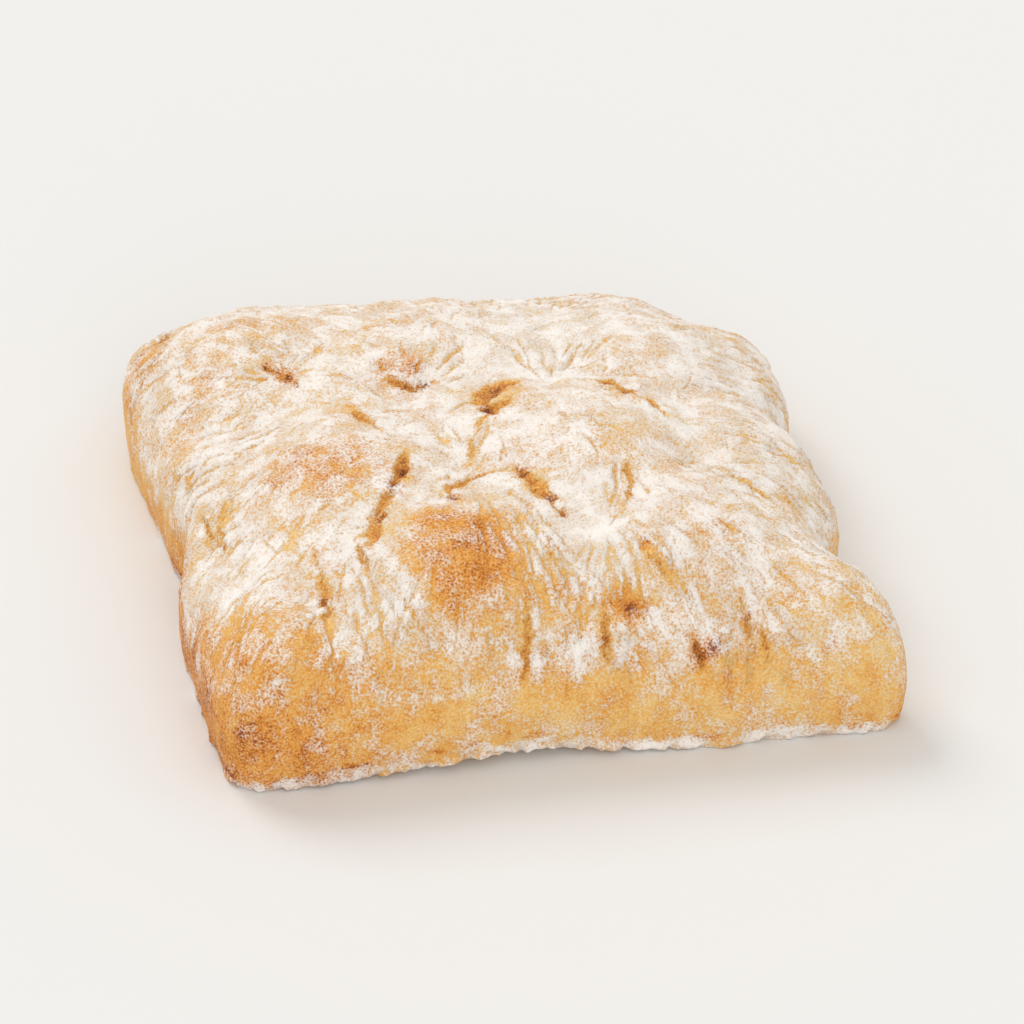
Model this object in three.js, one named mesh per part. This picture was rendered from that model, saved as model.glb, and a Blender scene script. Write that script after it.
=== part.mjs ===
// A focaccia roll: one small square loaf, cut from a sheet of dough and baked as one piece.
//
// Millimetres, +Z up. The loaf lies on its flat base at z = 0, with the middle of its outline at
// x = y = 0, its front towards -Y and its width along X. It is one closed solid: a puffed top,
// a rounded shoulder, a low wall that tucks in at the foot, and a flat base.
import * as THREE from 'three';

// Driving dimensions of the large form
const HALF_WIDTH = 61.5; // middle to a side
const HALF_DEPTH = 62; // middle to the front or back
const HEIGHT = 39; // base to the middle of the top
const WAIST = 11.5; // height of the widest line of the wall
const TUCK = 2.2; // how far the foot of the wall comes in under the waist
const LEAN = -0.8; // how much higher the back is than the middle: negative is lower
const FOOT_CORNERS = 8; // exponent of the outline at the base: near a square
const TOP_CORNERS = 2.8; // exponent of the outline near the top: near a circle
const SHOULDER_REACH = 2.5; // exponents of the dome's profile from the middle to the waist
const SHOULDER_RISE = 2.43;
const DOME_SHARE = 0.865; // share of the skin, from middle to foot, that is dome

// Where the outline swells or is drawn in: [direction, spread] in degrees, [push, lift] in mm.
// Direction 0 is +X and -90 is the front.
const SWELLS = [
  [-148, 14, 2.4, 0], // front-left corner, its side
  [-135, 6, 3.2, 0], // front-left corner, its tip
  [-90, 28, -1.4, 0], // front, drawn in
  [-60, 14, 1.4, 0], // front, towards the right
  [-43, 7, 10, 0], // front-right corner, the plumpest
  [-36, 7, -4.4, 2.3], // its upper side
  [-26, 7, -4, 0], // notch behind it
  [8, 11, -4.2, 0], // notch in the middle of the right side
  [26, 7, -1.7, 0],
  [46, 12, -6, -3.6], // back-right corner, small and low
  [100, 14, 3.2, 0], // back
  [131, 22, 5.6, 3.3], // back-left corner, broad and high
  [180, 7, -2, 0], // notch in the middle of the left side
  [196, 8, 2.1, 0],
];

// Puffs of crumb that lift the top between the finger dents: [x, y, height], on the skin laid flat
const PUFFS = [
  [15, -9, 1.6],
  [-17, -45, 1.6],
  [-38, -10, 1.5],
  [-66, -62, 1.2],
  [30, -43, 1.2],
  [66, -68, 0.8],
  [-6, 34, 1.3],
  [-54, 42, 1.4],
  [36, 26, 1.5],
  [58, -8, 1],
  [-76, 6, 1],
];
const PUFF_ROUNDNESS = 70; // radius of the top of a puff
const PUFF_FLOOR = -2.2; // the deepest that the valleys between puffs go
const PUFF_BLEND = 0.5; // how softly two puffs meet

// Finger dents: [x, y, depth, radius], on the skin laid flat
const DENTS = [
  [12, 8, 1.2, 6],
  [-8, -14, 1.4, 6],
  [14, -37, 1.2, 7],
  [35, -19, 1.3, 7],
  [-65, -22, 2, 8],
  [-44, -44, 1.5, 7],
  [42, -66, 1.5, 7],
  [-15, 15, 1.2, 6],
  [-39, 27, 1.2, 6],
  [60, 20, 1.2, 8],
];

// The front edge of the base has lifted off the baking tray
const ARCH_DIRECTION = -100; // degrees
const ARCH_SPREAD = 20; // degrees
const ARCH_RISE = 2.2;
const BASE_FLAT_SHARE = 0.86; // the base is dead flat inside this share of its outline

// Fineness of the mesh
const RINGS = 22; // rings from the middle of the top to the foot
const PROFILE_STEPS = 2000; // steps in measuring the dome's profile

const SKIN = {
  color: 0xe3c59c,
  roughness: 0.9,
  metalness: 0,
};

const clamp = (value, low, high) => Math.min(high, Math.max(low, value));
const bell = (offset, spread) => Math.exp(-((offset / spread) ** 2));

// Degrees from one direction to another, in -180..180
function turnBetween(angle, degrees) {
  const turn = THREE.MathUtils.radToDeg(angle) - degrees;
  return THREE.MathUtils.euclideanModulo(turn + 180, 360) - 180;
}

// The dome's profile at one angle: its reach and rise, each as a share of 1
function domePoint(angle) {
  const reach = Math.sin(angle) ** (2 / SHOULDER_REACH);
  const rise = Math.max(Math.cos(angle), 0) ** (2 / SHOULDER_RISE);
  return { reach, rise };
}

// Lengths along the dome's profile, from the middle of the top outwards
function measureDome() {
  const lengths = [0];
  let before = domePoint(0);
  for (let step = 1; step <= PROFILE_STEPS; step += 1) {
    const here = domePoint((step / PROFILE_STEPS) * (Math.PI / 2));
    const across = (here.reach - before.reach) * HALF_WIDTH;
    const down = (here.rise - before.rise) * (HEIGHT - WAIST);
    lengths.push(lengths[step - 1] + Math.hypot(across, down));
    before = here;
  }
  return lengths;
}

const domeLengths = measureDome();

// The dome's profile at an even pace: share 0 is the middle of the top, 1 the waist
function evenDomePoint(share) {
  const target = clamp(share, 0, 1) * domeLengths[PROFILE_STEPS];
  const above = Math.max(1, domeLengths.findIndex((length) => length >= target - 1e-9));
  const gap = domeLengths[above] - domeLengths[above - 1];
  const part = (target - domeLengths[above - 1]) / gap;
  return domePoint(((above - 1 + part) / PROFILE_STEPS) * (Math.PI / 2));
}

// Radius of the outline: a superellipse between a square and an ellipse
function outlineRadius(angle, corners) {
  const across = (Math.abs(Math.cos(angle)) / HALF_WIDTH) ** corners;
  const along = (Math.abs(Math.sin(angle)) / HALF_DEPTH) ** corners;
  return (across + along) ** (-1 / corners);
}

// How far the front edge has lifted, in a direction from the middle
function archHeight(angle) {
  return ARCH_RISE * bell(turnBetween(angle, ARCH_DIRECTION), ARCH_SPREAD);
}

// The large form: skin 0 is the middle of the top and 1 is the foot of the wall
function largeForm(skin, angle) {
  const { reach, rise } = evenDomePoint(skin / DOME_SHARE);
  const under = clamp((skin - DOME_SHARE) / (1 - DOME_SHARE), 0, 1) * (Math.PI / 2);
  const corners = FOOT_CORNERS - (FOOT_CORNERS - TOP_CORNERS) * rise ** 1.5;
  let push = 0;
  let lift = 0;
  for (const [direction, spread, outwards, upwards] of SWELLS) {
    const share = bell(turnBetween(angle, direction), spread);
    push += outwards * share;
    lift += upwards * share;
  }
  const radius = reach * outlineRadius(angle, corners)
    + reach ** 3 * push - TUCK * (1 - Math.cos(under));
  const foot = archHeight(angle);
  const y = radius * Math.sin(angle);
  const wall = foot + (WAIST - foot) * (1 - Math.sin(under));
  const dome = rise * (HEIGHT - WAIST + LEAN * (y / HALF_DEPTH));
  const corner = 1.6 * lift * reach ** 3 * Math.sqrt(rise);
  return new THREE.Vector3(radius * Math.cos(angle), y, wall + dome + corner);
}

// Relief of the skin laid flat: puffs that meet in valleys, with dents pressed in
function reliefAt(x, y) {
  let sum = Math.exp(PUFF_FLOOR / PUFF_BLEND);
  for (const [puffX, puffY, height] of PUFFS) {
    const away = (x - puffX) ** 2 + (y - puffY) ** 2;
    sum += Math.exp((height - away / (2 * PUFF_ROUNDNESS)) / PUFF_BLEND);
  }
  let relief = PUFF_BLEND * Math.log(sum);
  for (const [dentX, dentY, depth, radius] of DENTS) {
    relief -= depth * bell(Math.hypot(x - dentX, y - dentY), radius);
  }
  return relief;
}

// One point of the finished skin. The relief fades out down the wall, so the foot stays on the base.
function skinPoint(skin, angle) {
  const point = largeForm(skin, angle);
  const radius = Math.hypot(point.x, point.y);
  const stretch = radius > 0 ? 1 + (HEIGHT - point.z) / radius : 1;
  const { rise } = evenDomePoint(skin / DOME_SHARE);
  point.z += reliefAt(point.x * stretch, point.y * stretch) * Math.sqrt(rise);
  return point;
}

// A square grid of points covers the top: each square ring of the grid is one ring of the loaf
function buildLoaf() {
  const across = 2 * RINGS + 1;
  const points = [];
  for (let row = -RINGS; row <= RINGS; row += 1) {
    for (let column = -RINGS; column <= RINGS; column += 1) {
      const skin = Math.max(Math.abs(row), Math.abs(column)) / RINGS;
      points.push(skinPoint(skin, Math.atan2(row, column)));
    }
  }

  const triangles = [];
  for (let row = 0; row < across - 1; row += 1) {
    for (let column = 0; column < across - 1; column += 1) {
      const corner = row * across + column;
      const above = corner + across;
      const rising = (row < RINGS) === (column < RINGS);
      if (rising) {
        triangles.push([corner, corner + 1, above + 1], [corner, above + 1, above]);
      } else {
        triangles.push([corner, corner + 1, above], [corner + 1, above + 1, above]);
      }
    }
  }

  // The foot runs round the border of the grid, and a second loop bounds the flat of the base
  const foot = [];
  for (let step = 0; step < across - 1; step += 1) foot.push(step);
  for (let step = 0; step < across - 1; step += 1) foot.push(step * across + across - 1);
  for (let step = across - 1; step > 0; step -= 1) foot.push((across - 1) * across + step);
  for (let step = across - 1; step > 0; step -= 1) foot.push(step * across);
  const flat = foot.map((index) => {
    const edge = points[index];
    points.push(new THREE.Vector3(edge.x * BASE_FLAT_SHARE, edge.y * BASE_FLAT_SHARE, 0));
    return points.length - 1;
  });
  foot.forEach((here, step) => {
    const next = (step + 1) % foot.length;
    triangles.push([here, flat[step], foot[next]], [flat[step], flat[next], foot[next]]);
  });
  const flatOutline = flat.map((index) => new THREE.Vector2(points[index].x, points[index].y));
  for (const [a, b, c] of THREE.ShapeUtils.triangulateShape(flatOutline, [])) {
    triangles.push([flat[a], flat[c], flat[b]]);
  }

  const geometry = new THREE.BufferGeometry().setFromPoints(points);
  geometry.setIndex(triangles.flat());
  geometry.computeBoundingBox();
  const middle = geometry.boundingBox.getCenter(new THREE.Vector3());
  geometry.translate(-middle.x, -middle.y, -geometry.boundingBox.min.z);
  geometry.computeVertexNormals();
  return geometry;
}

const loaf = new THREE.Mesh(buildLoaf(), new THREE.MeshStandardMaterial(SKIN));
loaf.name = 'focaccia';

const focaccia = new THREE.Group();
focaccia.add(loaf);

export default focaccia;
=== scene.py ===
# %% [markdown]
# # A focaccia roll
# This lesson makes one small square focaccia: a puffed, flour-dusted loaf with finger dents, tears
# and creases in its crust. The real thing is cut from a sheet of dough and baked as one piece, so
# here it is one closed surface with one finish.
#
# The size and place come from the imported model, which is loaded first and never moved. Shapes are
# worked out in millimetres, and turned to metres when they go into a mesh.

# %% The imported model
import math
import bpy
import numpy as np
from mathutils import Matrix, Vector


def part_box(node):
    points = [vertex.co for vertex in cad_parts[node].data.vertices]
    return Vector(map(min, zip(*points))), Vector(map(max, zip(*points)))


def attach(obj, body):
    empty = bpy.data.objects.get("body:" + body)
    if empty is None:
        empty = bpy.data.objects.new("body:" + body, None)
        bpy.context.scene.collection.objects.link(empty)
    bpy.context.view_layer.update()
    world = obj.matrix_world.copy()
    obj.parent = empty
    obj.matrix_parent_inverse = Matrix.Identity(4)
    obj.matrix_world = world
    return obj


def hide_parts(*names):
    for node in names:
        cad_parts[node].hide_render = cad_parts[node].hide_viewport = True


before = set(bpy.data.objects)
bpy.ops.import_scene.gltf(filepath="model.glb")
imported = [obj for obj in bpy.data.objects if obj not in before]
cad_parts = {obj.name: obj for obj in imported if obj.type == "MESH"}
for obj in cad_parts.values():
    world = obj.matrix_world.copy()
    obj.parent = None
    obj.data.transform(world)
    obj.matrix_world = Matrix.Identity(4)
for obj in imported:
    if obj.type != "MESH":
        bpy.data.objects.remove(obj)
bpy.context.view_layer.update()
MM = 0.001
loaf_low = np.array(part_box("focaccia")[0]) / MM
loaf_high = np.array(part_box("focaccia")[1]) / MM
print("the loaf's box in mm:", loaf_low.round(1), loaf_high.round(1))

# %% [markdown]
# ## The camera
# The roll is seen from a little to the left of its front, and from well above, so that the whole
# top shows as well as the front wall. A wide lens close by would swell the near corners, so this is
# a long lens from 1.7 m away, which keeps the square outline calm.

# %% The camera
CAMERA_AZIMUTH = math.radians(-10.7)
CAMERA_ELEVATION = math.radians(35)
CAMERA_DISTANCE = 1.7
CAMERA_LENS = 318
AIM = (0.002, 0.0, 0.013)  # a little right of the loaf's middle, a third of the way up


def direction_to(azimuth, elevation):
    """Unit vector from the loaf: azimuth 0 is the front, and elevation is above the table."""
    flat = math.cos(elevation)
    return np.array([math.sin(azimuth) * flat, -math.cos(azimuth) * flat, math.sin(elevation)])


def aim(item, place, target):
    """Puts a camera or a light at a place, looking at a target."""
    item.location = Vector(place)
    item.rotation_euler = (Vector(target) - Vector(place)).to_track_quat("-Z", "Y").to_euler()


camera = bpy.data.objects.new("camera", bpy.data.cameras.new("camera"))
bpy.context.scene.collection.objects.link(camera)
camera.data.lens = CAMERA_LENS
camera_place = AIM + CAMERA_DISTANCE * direction_to(CAMERA_AZIMUTH, CAMERA_ELEVATION)
aim(camera, camera_place, AIM)
bpy.context.scene.camera = camera
print("camera", CAMERA_DISTANCE, "m away with a lens of", CAMERA_LENS, "mm")

# %% [markdown]
# ## Nodes and colours
# Every finish below is a tree of shader nodes. One small function adds a node, sets it and links
# it. Colours are written as sRGB hex values, as a paint chart gives them, and one function turns
# them to the linear values that Blender's sockets hold.

# %% Helpers for materials
MATH = "ShaderNodeMath"
NOISE = "ShaderNodeTexNoise"
RANGE = "ShaderNodeMapRange"
RAMP = "ShaderNodeValToRGB"
MIX = "ShaderNodeMix"  # of colours: input 0 is the share, 6 and 7 the colours, output 2 the mix
KEPT = "ShaderNodeAttribute"  # a value kept at every point of the mesh


def linear(hex_colour):
    """An sRGB hex colour as linear RGBA: each channel c becomes ((c + 0.055) / 1.055) ** 2.4."""
    channels = [int(hex_colour[i:i + 2], 16) / 255 for i in (1, 3, 5)]
    return [c / 12.92 if c <= 0.04045 else ((c + 0.055) / 1.055) ** 2.4 for c in channels] + [1]


def add_node(tree, kind, inputs=None, output=0, stops=None, **settings):
    """Adds a node with its settings and links, and returns one of its outputs.

    inputs maps a socket's name or number to a value, or to a socket to link. stops are the places
    and colours along a colour ramp.
    """
    node = tree.nodes.new(kind)
    for name, value in settings.items():
        setattr(node, name, value)
    for name, value in (inputs or {}).items():
        if isinstance(value, bpy.types.NodeSocket):
            tree.links.new(value, node.inputs[name])
        else:
            node.inputs[name].default_value = value
    for number, (at, colour) in enumerate(stops or []):
        elements = node.color_ramp.elements
        element = elements[number] if number < 2 else elements.new(at)
        element.position, element.color = at, linear(colour)
    return node.outputs[output] if node.outputs else None


def new_material(name):
    """An empty node material with its Principled shader linked to the output."""
    material = bpy.data.materials.new(name)
    material.use_nodes = True
    tree = material.node_tree
    tree.nodes.clear()
    surface = add_node(tree, "ShaderNodeBsdfPrincipled")
    add_node(tree, "ShaderNodeOutputMaterial", {"Surface": surface})
    return material, tree, surface.node


# %% [markdown]
# ## Floor and light
# A plain, nearly white table in a bright kitchen. One soft light from behind on the left slants
# over the crust and shows its relief, a weaker one fills in from the front, and warm white light
# comes from all round, so that no side goes dark. Lamps with an area would light the table in
# pools. Suns with a wide disc are as soft as a large window, and they light it evenly as far as the
# eye reaches.

# %% Floor and light
FLOOR_RADIUS = 30.0  # metres
FLOOR_SIDES = 96
WINDOW_STRENGTH = 1.12
FILL_STRENGTH = 0.68
ROOM_STRENGTH = 0.78
ROOM_COLOUR = (1, 0.985, 0.96, 1)  # linear: white with a touch of warmth

floor_mesh = bpy.data.meshes.new("table_top")
angles = np.linspace(0, 2 * np.pi, FLOOR_SIDES, endpoint=False)
rim = FLOOR_RADIUS * np.stack([np.cos(angles), np.sin(angles), np.zeros(FLOOR_SIDES)], axis=1)
floor_mesh.from_pydata(rim.tolist(), [], [list(range(FLOOR_SIDES))])
floor = bpy.data.objects.new("table_top", floor_mesh)
bpy.context.scene.collection.objects.link(floor)

# matt white emulsion paint: pale and plain, with no mirror image of the loaf
white_paint, _, white_shader = new_material("white_painted_table")
white_shader.inputs["Base Color"].default_value = linear("#E4E3E1")
white_shader.inputs["Roughness"].default_value = 0.7
floor_mesh.materials.append(white_paint)


def soft_light(name, azimuth, elevation, width, strength):
    """A sun aimed at the loaf, whose disc is `width` degrees across."""
    lamp = bpy.data.objects.new(name, bpy.data.lights.new(name, "SUN"))
    lamp.data.energy = strength
    lamp.data.angle = math.radians(width)
    bpy.context.scene.collection.objects.link(lamp)
    aim(lamp, direction_to(math.radians(azimuth), math.radians(elevation)), (0, 0, 0))


soft_light("window", azimuth=210, elevation=45, width=30, strength=WINDOW_STRENGTH)
soft_light("fill", azimuth=0, elevation=30, width=40, strength=FILL_STRENGTH)

world = bpy.data.worlds.new("bright_room")
world.use_nodes = True
room_light = world.node_tree.nodes["Background"]
room_light.inputs["Color"].default_value = ROOM_COLOUR
room_light.inputs["Strength"].default_value = ROOM_STRENGTH
bpy.context.scene.world = world
bpy.context.scene.view_settings.view_transform = "Standard"
print("floor radius", FLOOR_RADIUS, "m; window, fill and room",
      WINDOW_STRENGTH, FILL_STRENGTH, ROOM_STRENGTH)

# %% [markdown]
# ## The large form
# Seen from above, the roll is a square with plump corners, drawn in at the middle of its sides.
# Seen from the side it is a low dome on a short upright wall.
#
# It could be a cube, subdivided and then pulled into shape, but a formula has sizes that can be
# read and changed. So the skin is a function of two parameters. The first runs from 0 in the middle
# of the top to 1 at the foot of the wall, and the second is the direction round the loaf. The
# dome's profile is a superellipse, walked at an even pace, so that the mesh is about equally fine
# everywhere.

# %% Sizes of the large form, in mm and degrees
HALF_WIDTH = 61.5
HALF_DEPTH = 62
HEIGHT = 39
WAIST = 11.5  # height of the widest line of the wall
TUCK = 2.2  # how far the foot comes in under the waist
LEAN = -0.8  # the back is this much higher than the middle: negative is lower
FOOT_CORNERS = 8  # exponent of the outline at the base: near a square
TOP_CORNERS = 2.8  # exponent near the top: near a circle
CORNER_CHANGE = 1.5  # how fast the outline goes from the one to the other up the dome
SHOULDER_REACH = 2.5  # exponents of the dome's profile: 2 would be a plain ellipse
SHOULDER_RISE = 2.43
PROFILE_POINTS = 4001  # points in measuring the dome's profile
DOME_SHARE = 0.865  # share of the skin that is dome
ARCH_DIRECTION = -100  # where the front edge has lifted off the tray
ARCH_SPREAD = 20
ARCH_RISE = 2.2  # how far it has lifted

SWELL_FADE = 3  # exponent with which a swell fades out towards the middle
LIFT_GAIN = 1.6  # brings a lift's highest point to about the height given for it
LIFT_ONSET = 3  # limits a lift low on the dome, so that the skin can't fold over the wall
# direction, spread, push outwards, lift
SWELLS = [
    (-148, 14, 2.4, 0), (-135, 6, 3.2, 0),  # front-left corner
    (-90, 28, -1.4, 0), (-60, 14, 1.4, 0),  # front
    (-43, 7, 10, 0), (-36, 7, -4.4, 2.3), (-26, 7, -4, 0),  # front-right corner and its notch
    (8, 11, -4.2, 0), (26, 7, -1.7, 0),  # right side
    (46, 12, -6, -3.6), (100, 14, 3.2, 0), (131, 22, 5.6, 3.3),  # back and its corners
    (180, 7, -2, 0), (196, 8, 2.1, 0),  # left side
]

# %% The large form


def bell(offset, spread):
    """A smooth bump: 1 at no offset, falling off as exp(-(offset / spread) squared)."""
    return np.exp(-(offset / spread) ** 2)


def turn_between(angle, degrees):
    """Degrees from one direction to another, in -180..180."""
    return (np.degrees(angle) - degrees + 180) % 360 - 180


def dome_point(angle):
    """The dome's profile: reach is sin(angle) and rise is cos(angle), each to a power."""
    reach = np.sin(angle) ** (2 / SHOULDER_REACH)
    rise = np.clip(np.cos(angle), 0, 1) ** (2 / SHOULDER_RISE)
    return reach, rise


def even_dome_point(share):
    """The dome's profile at an even pace: share 0 is the middle of the top, 1 the waist."""
    angle = np.linspace(0, np.pi / 2, PROFILE_POINTS)
    reach, rise = dome_point(angle)
    steps = np.hypot(np.diff(reach) * HALF_WIDTH, np.diff(rise) * (HEIGHT - WAIST))
    length = np.concatenate([[0], np.cumsum(steps)])
    return dome_point(np.interp(np.clip(share, 0, 1), length / length[-1], angle))


def arch_height(angle):
    """How far the front edge has lifted off the tray, in a direction from the middle."""
    return ARCH_RISE * bell(turn_between(angle, ARCH_DIRECTION), ARCH_SPREAD)


def large_form(skin, angle):
    """Points of the plain loaf: outline radius times the profile's reach, at the profile's rise.

    The outline is a superellipse whose corners grow squarer towards the base. Swells push it out
    or draw it in, and the foot tucks in along a quarter of an ellipse.
    """
    reach, rise = even_dome_point(skin / DOME_SHARE)
    under = np.clip((skin - DOME_SHARE) / (1 - DOME_SHARE), 0, 1) * np.pi / 2
    corners = FOOT_CORNERS - (FOOT_CORNERS - TOP_CORNERS) * rise ** CORNER_CHANGE
    across = (np.abs(np.cos(angle)) / HALF_WIDTH) ** corners
    along = (np.abs(np.sin(angle)) / HALF_DEPTH) ** corners
    radius = reach * (across + along) ** (-1 / corners)
    push = sum(out * bell(turn_between(angle, at), wide) for at, wide, out, _ in SWELLS)
    lift = sum(up * bell(turn_between(angle, at), wide) for at, wide, _, up in SWELLS)
    radius = radius + reach ** SWELL_FADE * push - TUCK * (1 - np.cos(under))
    foot = arch_height(angle)
    x, y = radius * np.cos(angle), radius * np.sin(angle)
    wall = foot + (WAIST - foot) * (1 - np.sin(under))
    dome = rise * (HEIGHT - WAIST + LEAN * y / HALF_DEPTH)
    onset = np.minimum(np.sqrt(rise), LIFT_ONSET * rise)
    corner = LIFT_GAIN * lift * reach ** SWELL_FADE * onset
    return np.stack([x, y, wall + dome + corner], axis=-1), rise


# %% [markdown]
# ## The grid, and the skin laid flat
# Rings round a middle point would pinch together there. Instead a square grid of points covers the
# top. Each square ring of the grid is one ring round the loaf, so the grid's corners fall on the
# loaf's corners, and the middle is as even as the rest.
#
# What happens on the skin, such as dents, tears and flour, is placed on the *skin laid flat*: a
# map whose distance from the middle is the plan distance plus the drop below the top.

# %% The grid and the skin laid flat
RINGS = 144  # about 0.6 mm apart
side = np.arange(-RINGS, RINGS + 1)
column, row = np.meshgrid(side, side)
skin = np.maximum(abs(column), abs(row)) / RINGS
angle = np.arctan2(row, column)
plain, rise = large_form(skin, angle)

plan_radius = np.hypot(plain[..., 0], plain[..., 1])
stretch = 1 + (HEIGHT - plain[..., 2]) / np.maximum(plan_radius, 0.001)
flat = plain[..., :2] * stretch[..., None]
flat_x, flat_y = flat[..., 0], flat[..., 1]
print("grid of", side.size, "by", side.size, "points;",
      "skin laid flat reaches", flat_x.max().round(), "by", flat_y.max().round(), "mm")

# %% [markdown]
# ## Puffs and dents
# A baker presses fingertips into focaccia dough before it is baked. Between the dents the dough
# puffs up, and where two puffs meet there is a soft valley. Added bells would blur into one swell.
# So each puff is a shallow ball, and a smooth maximum of all the balls leaves the valleys. The
# dents are bell-shaped and pressed in.

# %% Puffs and dents
# x and y on the skin laid flat, height
PUFFS = [
    (15, -9, 1.6), (-17, -45, 1.6), (-38, -10, 1.5), (-66, -62, 1.2), (30, -43, 1.2),
    (66, -68, 0.8), (-6, 34, 1.3), (-54, 42, 1.4), (36, 26, 1.5), (58, -8, 1), (-76, 6, 1),
]
PUFF_ROUNDNESS = 70  # radius of a puff's top
PUFF_FLOOR = -2.2  # the deepest that a valley goes
PUFF_BLEND = 0.5  # how softly two puffs meet
PUFFED_UP = 1.12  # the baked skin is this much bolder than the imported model's

# x and y on the skin laid flat, depth, radius
DENTS = [
    (12, 8, 1.2, 6), (-8, -14, 1.4, 6), (14, -37, 1.2, 7), (35, -19, 1.3, 7), (-65, -22, 2, 8),
    (-44, -44, 1.5, 7), (42, -66, 1.5, 7), (-15, 15, 1.2, 6), (-39, 27, 1.2, 6), (60, 20, 1.2, 8),
]


def puffs_and_dents(x, y):
    """Smooth maximum of balls, as blend * log(sum(exp(height / blend))), less the dents."""
    total = np.exp(PUFF_FLOOR / PUFF_BLEND) * np.ones_like(x)
    for puff_x, puff_y, height in PUFFS:
        away = (x - puff_x) ** 2 + (y - puff_y) ** 2
        total += np.exp((height - away / (2 * PUFF_ROUNDNESS)) / PUFF_BLEND)
    pressed = sum(deep * bell(np.hypot(x - dent_x, y - dent_y), wide)
                  for dent_x, dent_y, deep, wide in DENTS)
    return PUFF_BLEND * np.log(total) - pressed


broad_relief = PUFFED_UP * puffs_and_dents(flat_x, flat_y) * np.sqrt(rise)
puffed = plain.copy()
puffed[..., 2] += broad_relief
print("puffs and dents from", broad_relief.min().round(1), "to", broad_relief.max().round(1), "mm")

# %% [markdown]
# ## Random hills
# Dough is never smooth. A Displace modifier could roughen it, but the same hills are needed below
# to fray paths and coats, so they are worked out here. In Perlin noise each corner of an invisible
# lattice holds a random slope, and the slopes are blended in between. It reads the point's place
# in space, so the pattern has no seam or stretch anywhere on the loaf.

# %% Perlin noise
LATTICE = 32  # cells before the pattern repeats
HILL_GAIN = 1.8  # brings the blended slopes to about -1 to 1


def hills(points, size, seed):
    """Random hills about `size` mm across, from about -1 to 1, at points with x, y and z.

    At each of the eight lattice corners round a point the height is slope . (point - corner), and
    the eight are mixed with the fade 6 t ** 5 - 15 t ** 4 + 10 t ** 3 along each axis.
    """
    slopes = np.random.default_rng(seed).normal(size=(LATTICE,) * 3 + (3,))
    slopes /= np.linalg.norm(slopes, axis=-1, keepdims=True)
    scaled = points / size
    cell = np.floor(scaled).astype(int)
    inside = scaled - cell
    fade = inside ** 3 * (inside * (inside * 6 - 15) + 10)
    total = np.zeros(points.shape[:-1])
    for corner in np.ndindex(2, 2, 2):
        step = np.array(corner)
        index = (cell + step) % LATTICE
        slope = slopes[index[..., 0], index[..., 1], index[..., 2]]
        height = ((inside - step) * slope).sum(axis=-1)
        total += height * np.prod(np.where(step, fade, 1 - fade), axis=-1)
    return HILL_GAIN * total


def layered_hills(points, size, seed, layers=3):
    """Hills with smaller hills on them: each layer is half as wide and half as high."""
    return sum(hills(points, size / 2 ** n, seed + n) / 2 ** n for n in range(layers))


lumps = layered_hills(puffed, 16, 11)
pimples = layered_hills(puffed, 3.2, 21, layers=2)
print("lumps", lumps.min().round(2), lumps.max().round(2))

# %% [markdown]
# ## Tears
# Where the skin of the dough stretched more than it could, it tore as it baked, and the golden
# layer below shows. Sculpting each by hand could not be repeated or changed. So a tear is a path on
# the skin laid flat. Its cross-section is a rounded trench with a low lip, it narrows to nothing at
# both ends, and random hills make its edges ragged. One side often stands higher than the other.

# %% Distance to a path


def follow(x, y, path):
    """Where points lie by a path of straight stretches: distance, share and side.

    The distance is to the path's nearest point, the share of the path's length is taken there, and
    the side is 1 on the left of the path and -1 on its right.
    """
    path = np.array(path, float)
    lengths = np.hypot(*np.diff(path, axis=0).T)
    starts = np.concatenate([[0], np.cumsum(lengths)])
    nearest = np.full(x.shape, 1e9)
    share = np.zeros(x.shape)
    beside = np.zeros(x.shape)
    for (ax, ay), (bx, by), length, start in zip(path[:-1], path[1:], lengths, starts):
        ux, uy = (bx - ax) / length, (by - ay) / length
        along = np.clip((x - ax) * ux + (y - ay) * uy, 0, length)
        away = np.hypot(x - ax - along * ux, y - ay - along * uy)
        closer = away < nearest
        nearest = np.where(closer, away, nearest)
        share = np.where(closer, (start + along) / starts[-1], share)
        beside = np.where(closer, np.sign((y - ay) * ux - (x - ax) * uy), beside)
    return nearest, share, beside


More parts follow.
